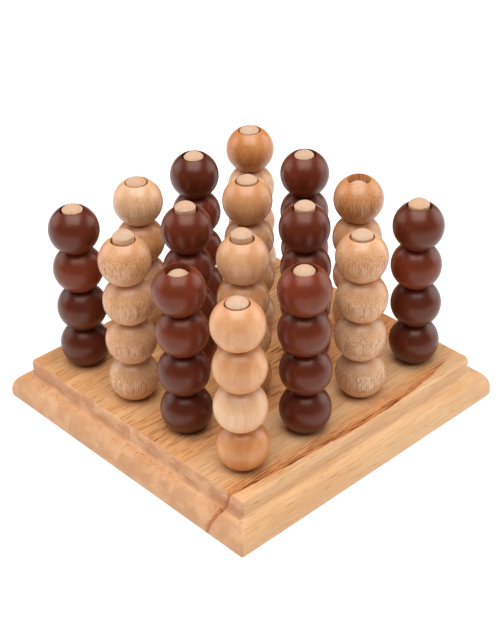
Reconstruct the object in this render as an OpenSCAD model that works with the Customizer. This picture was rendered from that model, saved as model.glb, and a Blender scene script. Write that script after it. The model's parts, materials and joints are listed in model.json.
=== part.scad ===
// A solid four-in-a-row game: a square moulded base with sixteen upright pegs, four
// bored beads stacked on each peg. Columns of natural and dark stained beads take turns.
// Origin at the middle of the underside, +Z up, +X along the grain of the base strips.
// Rows a to d run from front (-Y) to back, columns 1 to 4 from left (-X) to right.

/* [Base] */
// Side of the square base at its lower edge
base_side = 177.6; // [172:0.2:190]
// Thickness of the base
base_thick = 21.2; // [19:0.2:26]
// Width of the quarter-round moulding, which is also its height
mould_w = 9.2; // [7:0.2:10]
// Height of the straight edge below the moulding
lower_edge = 2.8; // [1.6:0.2:4]
// Rounding in the hollow between the moulding and the step above it
hollow_r = 2.4; // [0.6:0.1:3]
// Rounding of the edge of the top face
top_round = 1.4; // [0.4:0.1:1.6]
// Rounding of the bottom edge
bottom_round = 0.8; // [0.2:0.1:1.6]
// Hand-sanded rounding of the upright corners: front, right, back and left
corner_r = [1.2, 6, 3.5, 3]; // [0.6:0.1:7]
// The same for the corners of the step above the moulding
step_corner_r = [1.6, 4, 2, 2]; // [1:0.1:5]
// Thickness of the glue line between neighbouring strips
glue_line = 0.04; // [0.02:0.01:0.1]

/* [Pegs] */
// Distance between neighbouring pegs
pitch = 39; // [37:0.5:41]
// Diameter of the dowels
peg_d = 10.2; // [9.4:0.1:10.6]
// Radius of the domed dowel ends
dome_r = 6.5; // [5.5:0.1:12]
// Depth of the blind peg holes
hole_depth = 12; // [8:0.5:15]
// Glue gap between a dowel and the wall of its hole
glue_gap = 0.05; // [0.02:0.01:0.1]

/* [Beads] */
// Diameter of the beads
bead_d = 25.2; // [24:0.1:26]
// Diameter of the bore through each bead
bore_d = 11.8; // [11:0.1:12.4]
// Rounding of the two rims of the bore
rim_round = 0.2; // [0.1:0.05:0.6]
// Gap under each resting bead, so that no two pieces share any volume
rest_gap = 0.05; // [0.02:0.01:0.1]
// Share of the side clearance on its peg that each bead has moved over by
side_share = 0.3; // [0:0.05:0.8]

/* [Hidden] */
ROWS = ["a", "b", "c", "d"];
LEVELS = ["bottom", "second", "third", "top"];
COUNT = len(ROWS);

half_side = base_side / 2;
step_half = half_side - mould_w;
hollow_y = lower_edge + sqrt(pow(mould_w + hollow_r, 2) - pow(hollow_r, 2));
bead_r = bead_d / 2;
bore_r = bore_d / 2;
rim_x = bore_r + rim_round;
rim_z = sqrt(pow(bead_r - rim_round, 2) - pow(rim_x, 2));
bead_h = 2 * (rim_z + rim_round);
stack_step = bead_h + rest_gap;
sideways = side_share * (bore_r - peg_d / 2);
// The strips meet midway between the rows of pegs.
seam = pitch;

// How far each hand-marked hole lies off its place on the grid, along X and Y. Rows a to d.
hole_off = [
    [[-0.9, -0.2], [0.4, -1.0], [0.1, -0.1], [1.2, 0.6]],
    [[-0.6, 0.1], [-0.9, -0.2], [0.7, -0.9], [0.2, 0.3]],
    [[-1.1, -0.8], [-1.2, 0.1], [0, -0.4], [0.4, -0.7]],
    [[0, 0.4], [-0.1, -0.6], [-0.6, -0.1], [-0.4, 0.2]]
];

// How far each dowel stands above its top bead; hand-driven dowels vary. Rows a to d.
peg_stand = [
    [3, 1.5, 3.5, 3.5],
    [-0.5, 5, 3.5, -1.5],
    [5, 4, 3, 2],
    [2.5, 2.5, 2, 2.5]
];

base_wood = [0.80, 0.57, 0.36];
peg_wood = [0.88, 0.72, 0.56];
natural_wood = [0.85, 0.66, 0.46];
stained_wood = [0.33, 0.16, 0.13];

$fn = 96;

function grid_at(i) = (i - (COUNT - 1) / 2) * pitch;
function peg_at(i, j) = [grid_at(i), grid_at(j)] + hole_off[j][i];
function column_name(i, j) = str(ROWS[j], i + 1);
function is_inner(i) = i > 0 && i < COUNT - 1;
function is_inner_column(i, j) = is_inner(i) && is_inner(j);
function bead_name(i, j, k) = str("bead_", column_name(i, j), "_", LEVELS[k]);
function lower_name(i, j) = str("beads_", column_name(i, j), "_lower_three");
function separate_levels(i, j) = is_inner_column(i, j) ? [COUNT - 1] : [0 : COUNT - 1];

BEAD_NODES = [
    for (j = [0 : COUNT - 1], i = [0 : COUNT - 1], k = separate_levels(i, j))
        bead_name(i, j, k)
];
LOWER_NODES = [
    for (j = [0 : COUNT - 1], i = [0 : COUNT - 1])
        if (is_inner_column(i, j)) lower_name(i, j)
];

// ---- Base -----------------------------------------------------------------------

// Right half of the base's outline, seen along the edge: x outwards, y up.
module half_edge() {
    clear_x = half_side + 1;

    difference() {
        union() {
            // full width up to the top of the hollow, with a rounded bottom edge
            square([half_side - bottom_round, hollow_y]);
            translate([0, bottom_round]) square([half_side, hollow_y - bottom_round]);
            translate([half_side - bottom_round, bottom_round]) circle(r = bottom_round);

            // step with a rounded top edge
            square([step_half, base_thick - top_round]);
            square([step_half - top_round, base_thick]);
            translate([step_half - top_round, base_thick - top_round]) circle(r = top_round);
        }
        // what the cutter takes away: the hollow, and all that lies over the quarter round
        difference() {
            union() {
                translate([step_half + hollow_r, hollow_y]) circle(r = hollow_r);
                polygon([
                    [step_half, base_thick],
                    [step_half, hollow_y],
                    [step_half + hollow_r, hollow_y],
                    [step_half, lower_edge],
                    [clear_x, lower_edge],
                    [clear_x, base_thick]
                ]);
            }
            translate([step_half, lower_edge]) circle(r = mould_w);
        }
    }
}

// The moulding run along Y on both sides of the base.
module moulded_bar() {
    rotate([90, 0, 0]) linear_extrude(height = base_side, center = true) {
        half_edge();
        mirror([1, 0]) half_edge();
    }
}

// What rounding takes off the four corners of a square, in plan: front, right, back, left.
module corner_waste(half, radii) {
    for (k = [0 : len(radii) - 1])
        rotate(90 * k) difference() {
            translate([-half - 1, -half - 1]) square(radii[k] + 1);
            translate([radii[k] - half, radii[k] - half]) circle(r = radii[k]);
        }
}

// Upright block with the plan outline of the base, corners rounded.
module plan_block() {
    linear_extrude(height = base_thick)
        difference() {
            square(base_side, center = true);
            corner_waste(half_side, corner_r);
        }
}

// One glued strip of the base, between two values of y, with its row of peg holes.
module strip(y0, y1) {
    difference() {
        intersection() {
            moulded_bar();
            rotate(90) moulded_bar();
            plan_block();
            translate([-half_side, y0, 0]) cube([base_side, y1 - y0, base_thick]);
        }
        translate([0, 0, hollow_y])
            linear_extrude(height = base_thick) corner_waste(step_half, step_corner_r);
        for (i = [0 : COUNT - 1], j = [0 : COUNT - 1])
            if (grid_at(j) > y0 && grid_at(j) < y1)
                translate([each peg_at(i, j), base_thick - hole_depth])
                    cylinder(d = peg_d + 2 * glue_gap, h = hole_depth + 1);
    }
}

module base_front_strip() {
    color(base_wood) strip(-half_side, -seam - glue_line / 2);
}

module base_middle_strips() {
    color(base_wood) strip(-seam + glue_line / 2, -glue_line / 2);
    color(base_wood) strip(glue_line / 2, seam - glue_line / 2);
}

module base_back_strip() {
    color(base_wood) strip(seam + glue_line / 2, half_side);
}

// ---- Pegs -----------------------------------------------------------------------

// Dowel of one length, standing on z = 0, with a domed top end.
module dowel(length) {
    intersection() {
        cylinder(d = peg_d, h = length);
        union() {
            translate([0, 0, length - dome_r]) sphere(r = dome_r);
            cylinder(d = peg_d + 1, h = length - dome_r);
        }
    }
}

module pegs() {
    stack_h = COUNT * stack_step;
    color(peg_wood)
        for (i = [0 : COUNT - 1], j = [0 : COUNT - 1])
            translate([each peg_at(i, j), base_thick - hole_depth])
                dowel(hole_depth + stack_h + peg_stand[j][i]);
}

// ---- Beads ----------------------------------------------------------------------

// Right half of a bead's cross-section: x outwards from the bore's axis.
module bead_section() {
    far = bead_d / (bead_r - rim_round);
    difference() {
        circle(r = bead_r);
        translate([-bead_d, -bead_d]) square([bead_d + bore_r, 2 * bead_d]);
        for (s = [-1, 1])
            polygon([
                [0, s * rim_z],
                [rim_x, s * rim_z],
                [rim_x * far, s * rim_z * far],
                [0, s * rim_z * far]
            ]);
    }
    for (s = [-1, 1])
        translate([rim_x, s * rim_z]) circle(r = rim_round);
}

// Bead on the peg of column i, row j; level 0 rests on the base.
module bead(i, j, level) {
    golden_turn = 137.5;
    turn = golden_turn * ((j * COUNT + i) * COUNT + level);
    centre = peg_at(i, j) + sideways * [cos(turn), sin(turn)];
    rest_z = base_thick + rest_gap + bead_h / 2 + level * stack_step;
    color((i + j) % 2 == 0 ? natural_wood : stained_wood)
        translate([each centre, rest_z]) rotate_extrude() bead_section();
}

module lower_three_beads(i, j) {
    for (level = [0 : COUNT - 2]) bead(i, j, level);
}

// ---- The assembly ---------------------------------------------------------------

base_front_strip();
base_middle_strips();
base_back_strip();
pegs();

for (j = [0 : COUNT - 1], i = [0 : COUNT - 1], k = separate_levels(i, j))
    bead(i, j, k);

for (j = [0 : COUNT - 1], i = [0 : COUNT - 1])
    if (is_inner_column(i, j))
        lower_three_beads(i, j);
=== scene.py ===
"""Looks for a wooden solid four-in-a-row game: base of four strips, dowel pegs and bored beads."""
import json
import math
import random
from collections import namedtuple

import bmesh
import bpy
from mathutils import Matrix, Vector


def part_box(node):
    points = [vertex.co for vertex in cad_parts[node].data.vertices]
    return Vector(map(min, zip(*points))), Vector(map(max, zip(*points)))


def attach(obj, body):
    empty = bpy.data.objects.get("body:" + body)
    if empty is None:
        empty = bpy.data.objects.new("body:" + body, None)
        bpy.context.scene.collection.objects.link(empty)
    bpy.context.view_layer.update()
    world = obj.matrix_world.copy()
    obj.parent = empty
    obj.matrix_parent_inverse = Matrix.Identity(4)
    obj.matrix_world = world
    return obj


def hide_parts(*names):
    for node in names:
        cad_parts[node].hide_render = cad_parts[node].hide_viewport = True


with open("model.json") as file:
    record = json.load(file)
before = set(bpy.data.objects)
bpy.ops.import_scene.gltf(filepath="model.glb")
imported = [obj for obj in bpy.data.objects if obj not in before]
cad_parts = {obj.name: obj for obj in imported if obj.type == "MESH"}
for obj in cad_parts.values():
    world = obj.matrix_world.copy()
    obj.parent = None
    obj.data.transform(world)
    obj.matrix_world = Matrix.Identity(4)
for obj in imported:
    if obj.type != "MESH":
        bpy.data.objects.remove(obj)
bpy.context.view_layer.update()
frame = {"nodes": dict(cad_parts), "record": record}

MM = 0.001

# Bead, in metres.
BEAD_R = 12.6 * MM
BORE_R = 5.9 * MM
RIM_R = 0.2 * MM

# Dowel, in metres.
PEG_DOME_R = 6.5 * MM

# Edge moulding of the base, in metres, from the underside up.
BOTTOM_ROUND = 0.8 * MM
LOWER_EDGE = 2.8 * MM
MOULD_W = 9.2 * MM
HOLLOW_R = 2.4 * MM
TOP_ROUND = 1.4 * MM

# Hand-sanded upright corners of the moulding and of the step: back, left, front and right.
CORNERS = (3.5 * MM, 3.0 * MM, 1.2 * MM, 6.0 * MM)
STEP_CORNERS = (2.0 * MM, 2.0 * MM, 1.6 * MM, 4.0 * MM)

# Strips of the base from front to back: name, CAD node, depth of colour, openness of the
# pores, and the place of the pith from the strip's middle, in mm across and up.
STRIPS = (
    ("base_strip_front", "base_front_strip", 0.15, 0.12, (-70, -40)),
    ("base_strip_inner_front", "base_middle_strips", 0.75, 0.80, (55, -25)),
    ("base_strip_inner_back", "base_middle_strips", 0.40, 0.50, (-60, 30)),
    ("base_strip_back", "base_back_strip", 0.60, 0.60, (80, -35)),
)

# How brown (natural) or warm (stained) a bead is and how open its pores are, each 0 to 1.
# Beads not listed are left to chance.
BEAD_LOOKS = {
    "a1_top": (0.62, 0.05),
    "a1_third": (0.70, 0.10),
    "a1_second": (0.25, 0.12),
    "a1_bottom": (0.95, 0.05),
    "a2_top": (1.00, 0.30),
    "a2_second": (0.20, 0.20),
    "a2_bottom": (0.05, 0.20),
    "a3_top": (0.42, 0.90),
    "a3_third": (0.42, 0.80),
    "a3_second": (0.25, 0.95),
    "a3_bottom": (0.18, 1.00),
    "a4_top": (0.15, 0.20),
    "a4_second": (0.00, 0.30),
    "a4_bottom": (0.00, 0.30),
    "b1_top": (0.80, 0.20),
    "b1_second": (0.20, 0.20),
    "b1_bottom": (0.00, 0.20),
    "b2_top": (0.52, 0.30),
    "b4_top": (0.80, 1.00),
    "c1_top": (0.52, 0.85),
    "c1_third": (0.45, 0.80),
    "c1_second": (0.48, 0.90),
    "c1_bottom": (0.35, 0.90),
    "c3_top": (0.70, 0.25),
    "c4_top": (0.35, 0.20),
    "d1_top": (0.10, 0.20),
    "d1_second": (0.00, 0.20),
    "d1_bottom": (0.00, 0.20),
    "d2_top": (0.28, 0.35),
    "d3_top": (0.00, 0.20),
    "d4_top": (1.00, 0.60),
}

LEVELS = ("bottom", "second", "third", "top")

# Camera as fitted to the view: place in metres, angles in degrees, long lens in mm.
CAMERA_PLACE = (-0.4208, -0.4654, 0.4640)
CAMERA_YAW = 47.805
CAMERA_PITCH = 33.583
CAMERA_ROLL = -1.882
CAMERA_LENS = 85.65
SENSOR_WIDTH = 36

# One closed solid of a piece: its mesh, the matrix from millimetres of the object to
# millimetres of the trunk that it was cut from, its depth of colour and its open pores.
Shell = namedtuple("Shell", "verts faces to_wood tone pores")


# ---- Mesh helpers -----------------------------------------------------------------


def joined_to(start):
    """All the vertices that edges join to one vertex, itself among them."""
    reached, waiting = {start}, [start]
    while waiting:
        vert = waiting.pop()
        for edge in vert.link_edges:
            other = edge.other_vert(vert)
            if other not in reached:
                reached.add(other)
                waiting.append(other)
    return reached


def box_of(verts):
    """Lowest and highest corners of some vertices."""
    low = Vector([min(vert.co[k] for vert in verts) for k in range(3)])
    high = Vector([max(vert.co[k] for vert in verts) for k in range(3)])
    return low, high


def solids_of(node):
    """Boxes of the separate solids of a CAD node, as (low, high) corners, lowest first."""
    bm = bmesh.new()
    bm.from_mesh(frame["nodes"][node].data)
    bmesh.ops.remove_doubles(bm, verts=bm.verts, dist=0.001 * MM)
    seen, boxes = set(), []
    for start in bm.verts:
        if start not in seen:
            solid = joined_to(start)
            seen |= solid
            boxes.append(box_of(solid))
    bm.free()
    return sorted(boxes, key=lambda box: (round(box[0].z, 4), box[0].y, box[0].x))


def arc(centre_x, centre_z, radius, start, end, steps):
    """Points on an arc in the section plane, angles in degrees, both ends included."""
    points = []
    for k in range(steps + 1):
        angle = math.radians(start + (end - start) * k / steps)
        points.append((centre_x + radius * math.cos(angle), centre_z + radius * math.sin(angle)))
    return points


def lathe(section, segments, closed):
    """Turns a section of (radius, z) points about Z. Returns verts and faces."""
    verts, faces = [], []
    count = len(section)
    for s in range(segments):
        turn = 2 * math.pi * s / segments
        verts += [(r * math.cos(turn), r * math.sin(turn), z) for r, z in section]
    rows = count if closed else count - 1
    for s in range(segments):
        here, there = s * count, (s + 1) % segments * count
        for k in range(rows):
            up = (k + 1) % count
            faces.append((here + k, there + k, there + up, here + up))
    return verts, faces


def make_piece(name, shells, material, body, nodes):
    """One object from several shells.

    Its mesh keeps each point's place in the trunk, depth of colour, open pores and share of
    end grain as attributes, which the materials read.
    """
    verts, faces, wood, tones, pores, grains = [], [], [], [], [], []
    for shell in shells:
        first, count = len(verts), len(shell.verts)
        verts += shell.verts
        faces += [tuple(first + v for v in face) for face in shell.faces]
        wood += [shell.to_wood @ (Vector(v) / MM) for v in shell.verts]
        tones += [shell.tone] * count
        pores += [shell.pores] * count
        grains += [shell.to_wood.to_3x3().transposed() @ Vector((0, 0, 1))] * count
    mesh = bpy.data.meshes.new(name)
    mesh.from_pydata(verts, [], faces)
    mesh.update()
    mesh.polygons.foreach_set("use_smooth", [True] * len(mesh.polygons))
    end = [abs(v.normal.dot(g)) for v, g in zip(mesh.vertices, grains)]
    store_vectors(mesh, "wood", wood)
    store_values(mesh, "tone", tones)
    store_values(mesh, "pores", pores)
    store_values(mesh, "end_grain", end)
    mesh.materials.append(material)
    piece = bpy.data.objects.new(name, mesh)
    bpy.context.scene.collection.objects.link(piece)
    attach(piece, body)
    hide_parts(*nodes)
    return piece


def store_values(mesh, name, values):
    mesh.attributes.new(name, "FLOAT", "POINT").data.foreach_set("value", values)


def store_vectors(mesh, name, vectors):
    flat = [c for vector in vectors for c in vector]
    mesh.attributes.new(name, "FLOAT_VECTOR", "POINT").data.foreach_set("vector", flat)


def sharpen(mesh):
    """Keeps the edges between large plane faces crisp on a mesh that is otherwise smooth."""
    mesh.set_sharp_from_angle(angle=math.radians(30))


def in_the_tree(rng, distance, tilt=4.0):
    """A random place in a trunk: millimetres with Z along the grain and the pith at x = y = 0."""
    around = Matrix.Rotation(math.radians(rng.uniform(0, 360)), 4, "Z")
    lean = Matrix.Rotation(math.radians(rng.uniform(-tilt, tilt)), 4, "X")
    away = Matrix.Translation((distance, rng.uniform(-20, 20), rng.uniform(0, 900)))
    return away @ around @ lean


# ---- Node helpers -----------------------------------------------------------------


class Graph:
    """A node material under construction."""

    def __init__(self, name):
        self.material = bpy.data.materials.new(name)
        self.material.use_nodes = True
        self.tree = self.material.node_tree
        self.shader = self.tree.nodes["Principled BSDF"]

    def node(self, kind, inputs=(), **settings):
        """Adds a node with the given inputs, each a socket or a plain value."""
        made = self.tree.nodes.new(kind)
        for key, value in settings.items():
            setattr(made, key, value)
        for key, value in dict(inputs).items():
            self.feed(made.inputs[key], value)
        return made

    def feed(self, socket, value):
        if isinstance(value, bpy.types.NodeSocket):
            self.tree.links.new(value, socket)
        else:
            socket.default_value = value

    def surface(self, name, value):
        """Sets one of the shader's inputs."""
        self.feed(self.shader.inputs[name], value)

    def attribute(self, name, output="Fac"):
        return self.node("ShaderNodeAttribute", attribute_name=name).outputs[output]

    def split(self, vector):
        outputs = self.node("ShaderNodeSeparateXYZ", {"Vector": vector}).outputs
        return [outputs[axis] for axis in "XYZ"]

    def math(self, operation, a, b=0.0, c=0.0):
        made = self.node("ShaderNodeMath", operation=operation)
        for socket, value in zip(made.inputs, (a, b, c)):
            self.feed(socket, value)
        return made.outputs[0]

    def plus(self, a, b):
        return self.math("ADD", a, b)

    def minus(self, a, b):
        return self.math("SUBTRACT", a, b)

    def times(self, a, b):
        return self.math("MULTIPLY", a, b)

    def linear(self, value, slope, start):
        """value * slope + start."""
        return self.math("MULTIPLY_ADD", value, slope, start)

    def scaled(self, vector, factors):
        made = self.node("ShaderNodeVectorMath", operation="MULTIPLY")
        self.feed(made.inputs[0], vector)
        self.feed(made.inputs[1], factors)
        return made.outputs[0]

    def ramp(self, value, low, high):
        """0 below low, 1 above high, smooth between."""
        made = self.node("ShaderNodeMapRange", interpolation_type="SMOOTHSTEP")
        for socket, given in zip(("Value", "From Min", "From Max"), (value, low, high)):
            self.feed(made.inputs[socket], given)
        return made.outputs["Result"]

    def fade(self, value, low, high):
        """1 below low, 0 above high, smooth between."""
        return self.minus(1.0, self.ramp(value, low, high))

    def mix(self, share, a, b):
        """Colour a where share is 0 and colour b where it is 1."""
        made = self.node("ShaderNodeMix", data_type="RGBA", blend_type="MIX")
        sockets = [s for s in made.inputs if s.enabled]
        for socket, value in zip(sockets, (share, a, b)):
            self.feed(socket, value)
        return next(s for s in made.outputs if s.enabled)

    def tint(self, colour, where, strength, paint):
        """Takes a colour towards a paint by a mask times a strength."""
        return self.mix(self.times(where, strength), colour, paint)

    def noise(self, vector, detail, roughness=0.55):
        inputs = {"Vector": vector, "Scale": 1.0, "Detail": detail, "Roughness": roughness}
        return self.node("ShaderNodeTexNoise", inputs).outputs["Fac"]

    def bump(self, height, strength, distance):
        inputs = {"Height": height, "Strength": strength, "Distance": distance}
        self.surface("Normal", self.node("ShaderNodeBump", inputs).outputs["Normal"])


def rgb(r, g, b):
    """Linear colour from 0 to 255 sRGB values."""
    return (*[((c / 255 + 0.055) / 1.055) ** 2.4 if c > 10 else c / 3295 for c in (r, g, b)], 1.0)


class Wood:
    """The parts of a wood pattern that several materials share, in millimetres of the trunk."""

    def __init__(self, graph, ring_step, pore_step, pore_length):
        self.graph = graph
        self.place = graph.attribute("wood", "Vector")
        self.late = self.late_wood(ring_step)
        self.cloud = graph.ramp(self.noise((0.11, 0.11, 0.025), 2.0), 0.32, 0.68)
        self.streak = graph.ramp(self.noise((1.3, 1.3, 0.06), 4.0, 0.6), 0.3, 0.7)
        self.fibre = self.noise((5.0, 5.0, 0.22), 2.0)
        crowd = self.noise((0.22, 0.22, 0.03), 2.0)
        cells = self.noise((1 / pore_step, 1 / pore_step, 1 / pore_length), 0.0)
        self.hollows = graph.linear(crowd, 0.22, cells)

    def noise(self, scale, detail, roughness=0.55):
        """Noise in the trunk; scale is its cycles per millimetre: across, across and along the grain."""
        return self.graph.noise(self.graph.scaled(self.place, scale), detail, roughness)

    def late_wood(self, ring_step):
        """Year rings: 0 in early wood, rising to 1 at the outer edge of each ring."""
        g = self.graph
        x, y, _ = g.split(self.place)
        radius = g.math("SQRT", g.plus(g.times(x, x), g.times(y, y)))
        sway = self.noise((0.03, 0.03, 0.008), 2.0)
        wavy = g.plus(radius, g.times(sway, 14.0))
        phase = g.math("FRACT", g.math("DIVIDE", wavy, ring_step))
        return g.math("POWER", phase, 3.0)

    def pores(self, openness):
        """Share of open pore: dashes along the grain, more and longer as openness goes from 0 to 1."""
        return self.graph.ramp(self.graph.linear(openness, 0.16, self.hollows), 0.875, 0.925)


# ---- Materials --------------------------------------------------------------------


def natural_bead_wood():
    """Clear-lacquered turned wood, pale tan to orange brown by the tone attribute."""
    g = Graph("natural_bead_wood")
    wood = Wood(g, ring_step=5.5, pore_step=0.34, pore_length=9.0)
    open_pores = g.attribute("pores")
    end = g.ramp(g.attribute("end_grain"), 0.2, 0.75)
    lines = g.ramp(wood.noise((1.7, 1.7, 0.05), 2.0), 0.5, 0.58)
    pores = g.times(wood.pores(open_pores), g.linear(end, -0.4, 0.6))

    pale = g.mix(wood.cloud, rgb(244, 206, 168), rgb(238, 192, 148))
    brown = g.mix(wood.cloud, rgb(220, 150, 88), rgb(202, 124, 62))
    colour = g.mix(g.attribute("tone"), pale, brown)
    colour = g.tint(colour, wood.late, 0.13, rgb(180, 114, 66))
    colour = g.tint(colour, wood.streak, g.linear(open_pores, 0.34, 0.06), rgb(178, 118, 70))
    colour = g.tint(colour, end, 0.2, rgb(196, 134, 88))
    colour = g.tint(colour, lines, g.times(open_pores, g.linear(end, -0.5, 0.5)), rgb(158, 92, 48))
    colour = g.mix(pores, colour, rgb(128, 62, 24))

    g.surface("Base Color", colour)
    g.surface("Roughness", g.linear(pores, 0.3, g.linear(wood.fibre, 0.08, 0.27)))
    g.surface("Specular IOR Level", 0.6)
    g.bump(g.minus(g.times(wood.fibre, 0.1), pores), 0.15, 0.1 * MM)
    return g.material


def stained_bead_wood():
    """Chocolate stain under glossy lacquer; the grain only just shows through."""
    g = Graph("stained_bead_wood")
    wood = Wood(g, ring_step=5.0, pore_step=0.6, pore_length=4.0)
    pores = g.times(wood.pores(g.attribute("pores")), 0.3)

    dark = g.mix(wood.streak, rgb(92, 36, 19), rgb(82, 31, 16))
    warm = g.mix(wood.streak, rgb(128, 52, 27), rgb(114, 45, 24))
    colour = g.mix(g.attribute("tone"), dark, warm)
    colour = g.tint(colour, wood.cloud, 0.3, rgb(78, 31, 17))
    colour = g.mix(pores, colour, rgb(48, 20, 12))

    g.surface("Base Color", colour)
    g.surface("Roughness", g.linear(wood.fibre, 0.05, g.linear(wood.cloud, 0.05, 0.26)))
    g.surface("Specular IOR Level", 0.5)
    g.surface("Specular Tint", (1.0, 0.72, 0.6, 1.0))
    g.bump(g.minus(g.times(wood.fibre, 0.1), pores), 0.06, 0.1 * MM)
    return g.material


def peg_wood():
    """Pale dowel: speckled end grain on the dome, fine lines down the side."""
    g = Graph("peg_wood")
    wood = Wood(g, ring_step=2.6, pore_step=0.45, pore_length=5.0)
    pores = g.times(wood.pores(g.attribute("pores")), 0.4)

    dome = g.mix(wood.cloud, rgb(210, 178, 154), rgb(202, 166, 138))
    side = g.mix(wood.cloud, rgb(226, 182, 140), rgb(218, 168, 124))
    colour = g.mix(g.ramp(g.attribute("end_grain"), 0.2, 0.7), side, dome)
    colour = g.tint(colour, g.attribute("tone"), 0.6, rgb(214, 164, 124))
    colour = g.tint(colour, wood.late, 0.2, rgb(194, 146, 112))
    colour = g.mix(pores, colour, rgb(176, 120, 84))

    g.surface("Base Color", colour)
    g.surface("Roughness", g.linear(wood.fibre, 0.15, 0.5))
    g.surface("Specular IOR Level", 0.35)
    g.bump(g.minus(g.times(wood.fibre, 0.3), pores), 0.3, 0.1 * MM)
    return g.material


def base_wood(seam, thick):
    """Glued-up strips, grain along X: open dark pores, glue lines, a red-brown layer at the front, and
    painted shade on the moulding.
    """
    g = Graph("base_wood")
    wood = Wood(g, ring_step=6.5, pore_step=0.38, pore_length=10.0)
    end = g.ramp(g.attribute("end_grain"), 0.15, 0.6)
    x, y, z = g.split(g.attribute("spot", "Vector"))
    core, halo = red_layer(g, wood, x, y, z, thick / MM)
    glue = g.times(glue_lines(g, y, seam / MM), g.linear(end, -0.45, 0.45))
    pores = base_pores(g, wood, end, core, halo)
    moulding = g.fade(z, 9.0, 14.0)  # 1 on the moulding, 0 on the step above it: where the painted shade goes

    colour = strip_colour(g, wood, end)
    # Painted shade: darkens the moulding, which the overhead lamp lights more than the step above it
    colour = g.tint(colour, moulding, 0.3, rgb(206, 160, 114))
    colour = red_colour(g, wood, colour, end, core, halo)
    colour = g.mix(glue, colour, rgb(124, 66, 32))
    colour = g.mix(pores, colour, rgb(112, 44, 16))

    g.surface("Base Color", colour)
    g.surface("Roughness", g.linear(end, 0.15, g.linear(wood.fibre, 0.12, 0.3)))
    g.surface("Specular IOR Level", 0.4)
    g.bump(g.minus(g.times(wood.fibre, 0.2), g.linear(pores, 0.5, glue)), 0.2, 0.12 * MM)
    return g.material


def strip_colour(g, wood, end):
    """Colour of a strip before pores and glue, by the tone attribute, with blotchy end grain."""
    tone = g.attribute("tone")
    lines = g.ramp(wood.noise((1.5, 1.5, 0.03), 2.0), 0.52, 0.6)
    figure = g.ramp(wood.noise((0.07, 0.13, 0.02), 3.0, 0.65), 0.4, 0.62)
    patch = g.ramp(wood.noise((0.09, 0.09, 0.02), 3.0, 0.7), 0.45, 0.6)
    mottle = g.ramp(wood.noise((0.6, 0.6, 0.07), 3.0, 0.6), 0.48, 0.66)

    light = g.mix(wood.cloud, rgb(233, 196, 150), rgb(226, 182, 134))
    deep = g.mix(wood.cloud, rgb(240, 176, 114), rgb(229, 156, 93))
    colour = g.mix(tone, light, deep)
    colour = g.tint(colour, wood.late, 0.2, rgb(196, 122, 66))
    colour = g.tint(colour, wood.streak, g.linear(tone, 0.25, 0.06), rgb(194, 124, 70))
    colour = g.tint(colour, lines, 0.22, rgb(164, 94, 46))
    colour = g.tint(colour, end, 0.8, rgb(194, 134, 98))
    colour = g.tint(colour, figure, g.times(end, 0.6), rgb(240, 190, 144))
    colour = g.tint(colour, patch, 0.22, rgb(204, 142, 96))
    return g.tint(colour, mottle, 0.24, rgb(190, 146, 98))


def base_pores(g, wood, end, core, halo):
    """Open pores: dense in the red layer, faint on end grain."""
    open_pores = g.attribute("pores")
    dense = g.math("MAXIMUM", core, g.times(halo, 0.7))
    openness = g.linear(dense, 0.42, g.linear(end, -0.3, open_pores))
    shown = g.linear(end, -0.6, g.linear(open_pores, 0.45, 0.45))
    return g.times(wood.pores(openness), g.math("MAXIMUM", shown, 0.15))


def glue_lines(g, y, seam):
    """1 on the glue lines of the base, at y = 0 and y = seam either way, in mm."""
    off_middle = g.math("ABSOLUTE", y)
    off_seam = g.math("ABSOLUTE", g.minus(off_middle, seam))
    return g.fade(g.math("MINIMUM", off_middle, off_seam), 0.05, 0.35)


def red_layer(g, wood, x, y, z, thick):
    """A heartwood layer along the front edge, bowed in plan and leaning back as it goes down.

    Gives the share of its red-brown core and that of the orange wood behind it. All in mm.
    """
    front_x, front_y = 12.0, -79.6  # where it comes nearest to the front edge
    bend, skew = 0.0015, 0.0000085  # how fast it bows away to both sides, and the difference
    slope = 0.3  # how far back it goes for each millimetre down

    off = g.minus(x, front_x)
    bow = g.times(g.times(off, off), g.linear(off, skew, bend))
    along = g.node("ShaderNodeCombineXYZ", {"X": x}).outputs[0]
    ripple = g.linear(g.noise(g.scaled(along, (0.12, 0, 0)), 2.0), 2.0, front_y)
    lean = g.times(g.minus(z, thick), slope)
    depth = g.plus(g.minus(g.minus(y, bow), ripple), lean)

    front = g.times(g.ramp(depth, 0.0, 0.35), g.fade(x, 50.0, 78.0))
    ragged = g.linear(wood.streak, 4.5, 1.2)
    core = g.times(front, g.fade(g.math("DIVIDE", depth, ragged), 0.35, 1.0))
    halo = g.times(front, g.fade(depth, 2.0, 13.0))
    return core, halo


def red_colour(g, wood, colour, end, core, halo):
    """Adds the red layer's orange, red-brown and dark hairs, weaker on end grain but for the core."""
    side = g.minus(1.0, g.times(end, 0.9))
    hair = g.ramp(wood.noise((1.8, 1.8, 0.1), 2.0), 0.49, 0.56)
    hairy = g.times(side, g.linear(halo, 0.55, g.times(core, 0.45)))
    colour = g.tint(colour, halo, g.times(side, 0.6), rgb(214, 138, 72))
    colour = g.tint(colour, core, g.linear(end, 0.3, 0.5), rgb(172, 86, 38))
    return g.tint(colour, hair, hairy, rgb(118, 48, 18))


# ---- Base -------------------------------------------------------------------------


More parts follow.
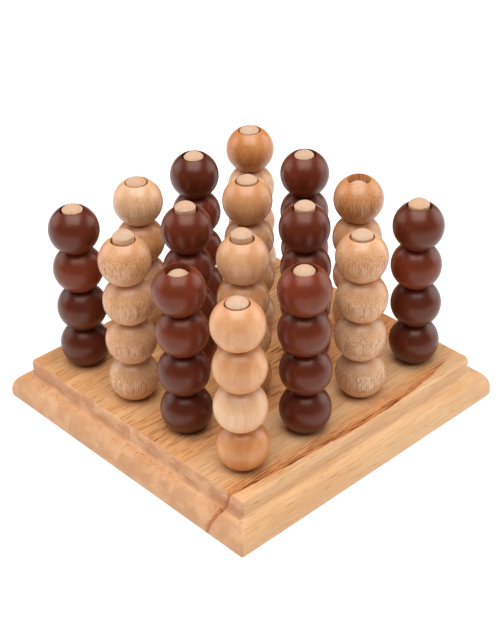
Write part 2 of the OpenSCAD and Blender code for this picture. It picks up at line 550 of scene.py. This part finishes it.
def base_section(half, thick):
    """The base's edge, from the underside to the top face, as (half width, height) points."""
    step = half - MOULD_W
    hollow_z = LOWER_EDGE + math.sqrt((MOULD_W + HOLLOW_R) ** 2 - HOLLOW_R ** 2)
    touch = math.degrees(math.acos(HOLLOW_R / (MOULD_W + HOLLOW_R)))
    points = arc(half - BOTTOM_ROUND, BOTTOM_ROUND, BOTTOM_ROUND, -90, 0, steps=5)
    points += arc(step, LOWER_EDGE, MOULD_W, 0, touch, steps=22)
    points += arc(step + HOLLOW_R, hollow_z, HOLLOW_R, touch - 180, -180, steps=6)[1:]
    points += arc(step - TOP_ROUND, thick - TOP_ROUND, TOP_ROUND, 0, 90, steps=7)
    return points


def ring(half, corners, side_steps=24, corner_steps=6):
    """A square ring with rounded corners, anticlockwise from above, as (x, y) points."""
    points = []
    for quarter, (cos, sin) in enumerate(((1, 0), (0, 1), (-1, 0), (0, -1))):
        start, end = corners[quarter - 1] - half, half - corners[quarter]
        run = [(half, start + (end - start) * k / side_steps) for k in range(side_steps)]
        run += arc(end, end, corners[quarter], 0, 90, corner_steps)[:-1]
        points += [(x * cos - y * sin, x * sin + y * cos) for x, y in run]
    return points


def corners_at(width, step):
    """Radii of the four upright corners where the base is this wide.

    They go from the step's to the moulding's, and shrink where the top edge rounds inwards.
    """
    out = max(0.0, (width - step) / MOULD_W)
    less = max(0.0, step - width) * 0.6
    return [inner + (outer - inner) * out - less for inner, outer in zip(STEP_CORNERS, CORNERS)]


def base_mesh(half, thick):
    """The whole base as a bmesh: rings up the edge, closed by the underside and the top face."""
    bm = bmesh.new()
    rings = []
    for width, height in base_section(half, thick):
        outline = ring(width, corners_at(width, half - MOULD_W))
        rings.append([bm.verts.new((x, y, height)) for x, y in outline])
    for low, high in zip(rings, rings[1:]):
        for k in range(len(low)):
            n = (k + 1) % len(low)
            bm.faces.new((low[k], low[n], high[n], high[k]))
    bm.faces.new(list(reversed(rings[0])))
    bm.faces.new(rings[-1])
    return bm


def cut(bm, y, side):
    """Cuts away what lies past y on one side and closes the cut."""
    everything = bm.verts[:] + bm.edges[:] + bm.faces[:]
    bmesh.ops.bisect_plane(bm, geom=everything, dist=0.0001 * MM, plane_co=(0, y, 0),
                           plane_no=(0, side, 0), clear_outer=True)
    rim = [edge for edge in bm.edges if edge.is_boundary]
    bmesh.ops.contextual_create(bm, geom=rim)


def base_strip(half, thick, y_low, y_high):
    """Verts and faces of the part of the base between two values of y."""
    bm = base_mesh(half, thick)
    if y_low > -half:
        cut(bm, y_low, -1)
    if y_high < half:
        cut(bm, y_high, 1)
    bmesh.ops.recalc_face_normals(bm, faces=bm.faces)
    bm.verts.index_update()
    verts = [tuple(v.co) for v in bm.verts]
    faces = [tuple(v.index for v in f.verts) for f in bm.faces]
    bm.free()
    return verts, faces


def build_base(rng):
    _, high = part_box("base_front_strip")
    half, thick, seam = high.x, high.z, -high.y
    material = base_wood(seam, thick)
    along_x = Matrix(((0, 1, 0, 0), (0, 0, 1, 0), (1, 0, 0, 0), (0, 0, 0, 1)))
    edges = (-half, -seam, 0.0, seam, half)
    for (name, node, tone, pores, pith), y_low, y_high in zip(STRIPS, edges, edges[1:]):
        verts, faces = base_strip(half, thick, y_low, y_high)
        across = pith[0] - (y_low + y_high) / 2 / MM
        away = Matrix.Translation((across, pith[1], rng.uniform(0, 800)))
        lean = Matrix.Rotation(math.radians(rng.uniform(-1.2, 1.2)), 4, "X")
        shell = Shell(verts, faces, away @ lean @ along_x, tone, pores)
        piece = make_piece(name, [shell], material, "base", [node])
        store_vectors(piece.data, "spot", [[c / MM for c in v] for v in verts])
        sharpen(piece.data)


# ---- Pegs -------------------------------------------------------------------------


def dowel(low, high, segments=40, side_steps=12):
    """Verts and faces of a domed dowel that fills a box; small polygons close its two ends."""
    foot_r = 0.05 * MM
    radius = max(high.x - low.x, high.y - low.y) / 2
    base, top = low.z, high.z
    shoulder = top - PEG_DOME_R + math.sqrt(PEG_DOME_R ** 2 - radius ** 2)
    start = math.degrees(math.acos(radius / PEG_DOME_R))
    section = [(foot_r, base), (radius, base)]
    section += [(radius, base + (shoulder - base) * k / side_steps) for k in range(1, side_steps)]
    section += arc(0, top - PEG_DOME_R, PEG_DOME_R, start, 89.5, steps=14)
    verts, faces = lathe(section, segments, closed=False)
    count = len(section)
    faces.append(tuple(reversed([s * count for s in range(segments)])))
    faces.append(tuple(s * count + count - 1 for s in range(segments)))
    centre = (low + high) / 2
    return [(x + centre.x, y + centre.y, z) for x, y, z in verts], faces


def build_pegs(rng):
    shells = []
    for low, high in solids_of("pegs"):
        verts, faces = dowel(low, high)
        centre = (low + high) / 2 / MM
        to_wood = in_the_tree(rng, rng.uniform(15, 60)) @ Matrix.Translation(-centre)
        shells.append(Shell(verts, faces, to_wood, rng.uniform(0, 0.6), rng.uniform(0.3, 0.9)))
    piece = make_piece("peg_dowels", shells, peg_wood(), "base", ["pegs"])
    sharpen(piece.data)


# ---- Beads ------------------------------------------------------------------------


def bead_section(bore_steps=6):
    """Closed section of a bead: the ball's arc, both rims of the bore, and the bore's wall."""
    rim_x = BORE_R + RIM_R
    rim_z = math.sqrt((BEAD_R - RIM_R) ** 2 - rim_x ** 2)
    reach = math.degrees(math.atan2(rim_z, rim_x))
    points = arc(0, 0, BEAD_R, -reach, reach, steps=40)
    points += arc(rim_x, rim_z, RIM_R, reach, 180, steps=6)[1:]
    points += [(BORE_R, rim_z - 2 * rim_z * k / bore_steps) for k in range(1, bore_steps)]
    points += arc(rim_x, -rim_z, RIM_R, 180, 360 - reach, steps=6)[:-1]
    return points


BEAD_VERTS, BEAD_FACES = lathe(bead_section(), segments=72, closed=True)


def bead(low, high, rng, look):
    """Shell of one bead centred in a box, cut from its own place in a trunk, grain along the bore."""
    centre = (low + high) / 2
    verts = [(x + centre.x, y + centre.y, z + centre.z) for x, y, z in BEAD_VERTS]
    to_wood = in_the_tree(rng, rng.uniform(25, 90), tilt=7.0) @ Matrix.Translation(-centre / MM)
    return Shell(verts, BEAD_FACES, to_wood, *look)


def look_of(column, level, rng):
    """How brown or warm a bead is and how open its pores are."""
    chance = (rng.uniform(0.1, 0.9), rng.uniform(0.2, 1.0))
    return BEAD_LOOKS.get(f"{column}_{level}", chance)


def body_of(node):
    bodies = frame["record"]["behaviour"]["bodies"]
    return next(body for body, members in bodies.items() if node in members)


def build_beads(rng):
    """One piece for each bead node; a node of several beads holds the lowest ones of its column."""
    materials = {"natural_bead": natural_bead_wood(), "stained_bead": stained_bead_wood()}
    for entry in frame["record"]["subparts"]:
        node, slot = entry["node"], entry["material_slot"]
        if slot not in materials:
            continue
        _, column, own_level = node.split("_")[:3]
        solids = solids_of(node)
        levels = LEVELS[:len(solids)] if len(solids) > 1 else [own_level]
        shells = [
            bead(low, high, rng, look_of(column, level, rng))
            for (low, high), level in zip(solids, levels)
        ]
        kind, body = slot.split("_")[0], body_of(node)
        make_piece(f"{kind}_{body}", shells, materials[slot], body, [node])


# ---- Studio -----------------------------------------------------------------------


def build_floor():
    """White table that glows a little, as a lit sweep does, so that it stays white far from the lamps."""
    g = Graph("studio_floor")
    g.surface("Base Color", (0.6, 0.6, 0.6, 1))
    g.surface("Roughness", 0.9)
    g.surface("Specular IOR Level", 0.0)
    g.surface("Emission Color", (1, 1, 1, 1))
    g.surface("Emission Strength", 0.65)
    mesh = bpy.data.meshes.new("studio_floor")
    size, below = 6.0, -0.3 * MM  # a little below the base, so that the two faces don't fight
    corners = [(-size, -size, below), (size, -size, below), (size, size, below), (-size, size, below)]
    mesh.from_pydata(corners, [], [(0, 1, 2, 3)])
    mesh.materials.append(g.material)
    floor = bpy.data.objects.new("studio_floor", mesh)
    bpy.context.scene.collection.objects.link(floor)


def softbox(name, place, size, power):
    """A rectangular lamp that points at the middle of the game, in metres and watts."""
    light = bpy.data.lights.new(name, "AREA")
    light.shape = "RECTANGLE"
    light.size, light.size_y = size
    light.energy = power
    lamp = bpy.data.objects.new(name, light)
    middle = Vector((0, 0, 0.05))
    lamp.location = place
    lamp.rotation_euler = (middle - Vector(place)).to_track_quat("-Z", "Y").to_euler()
    bpy.context.scene.collection.objects.link(lamp)


def build_lights():
    """One box overhead, and one at each side, round far enough to light only the beads' rims."""
    softbox("overhead_softbox", (-0.15, -0.16, 1.2), (1.2, 1.2), 19.5)
    softbox("right_softbox", (1.22, -0.55, 0.5), (1.2, 0.9), 8.2)
    softbox("left_softbox", (-0.66, 1.16, 0.6), (1.2, 0.9), 6.7)
    world = bpy.data.worlds.new("studio_air")
    world.use_nodes = True
    sky = world.node_tree.nodes["Background"]
    sky.inputs["Color"].default_value = (1, 1, 1, 1)
    sky.inputs["Strength"].default_value = 0.1
    bpy.context.scene.world = world


def build_camera():
    yaw, pitch, roll = (math.radians(a) for a in (CAMERA_YAW, CAMERA_PITCH, CAMERA_ROLL))
    ahead = Vector((math.cos(yaw) * math.cos(pitch), math.sin(yaw) * math.cos(pitch), -math.sin(pitch)))
    level = Vector((math.sin(yaw), -math.cos(yaw), 0))
    right = math.cos(roll) * level + math.sin(roll) * level.cross(ahead)
    up = right.cross(ahead)
    turn = Matrix((right, up, -ahead)).transposed()
    lens = bpy.data.cameras.new("camera")
    lens.lens = CAMERA_LENS
    lens.sensor_width = SENSOR_WIDTH
    camera = bpy.data.objects.new("camera", lens)
    camera.matrix_world = Matrix.Translation(CAMERA_PLACE) @ turn.to_4x4()
    bpy.context.scene.collection.objects.link(camera)
    bpy.context.scene.camera = camera
    bpy.context.scene.view_settings.view_transform = "Standard"


build_base(random.Random(7))
build_pegs(random.Random(21))
build_beads(random.Random(4))
build_floor()
build_lights()
build_camera()
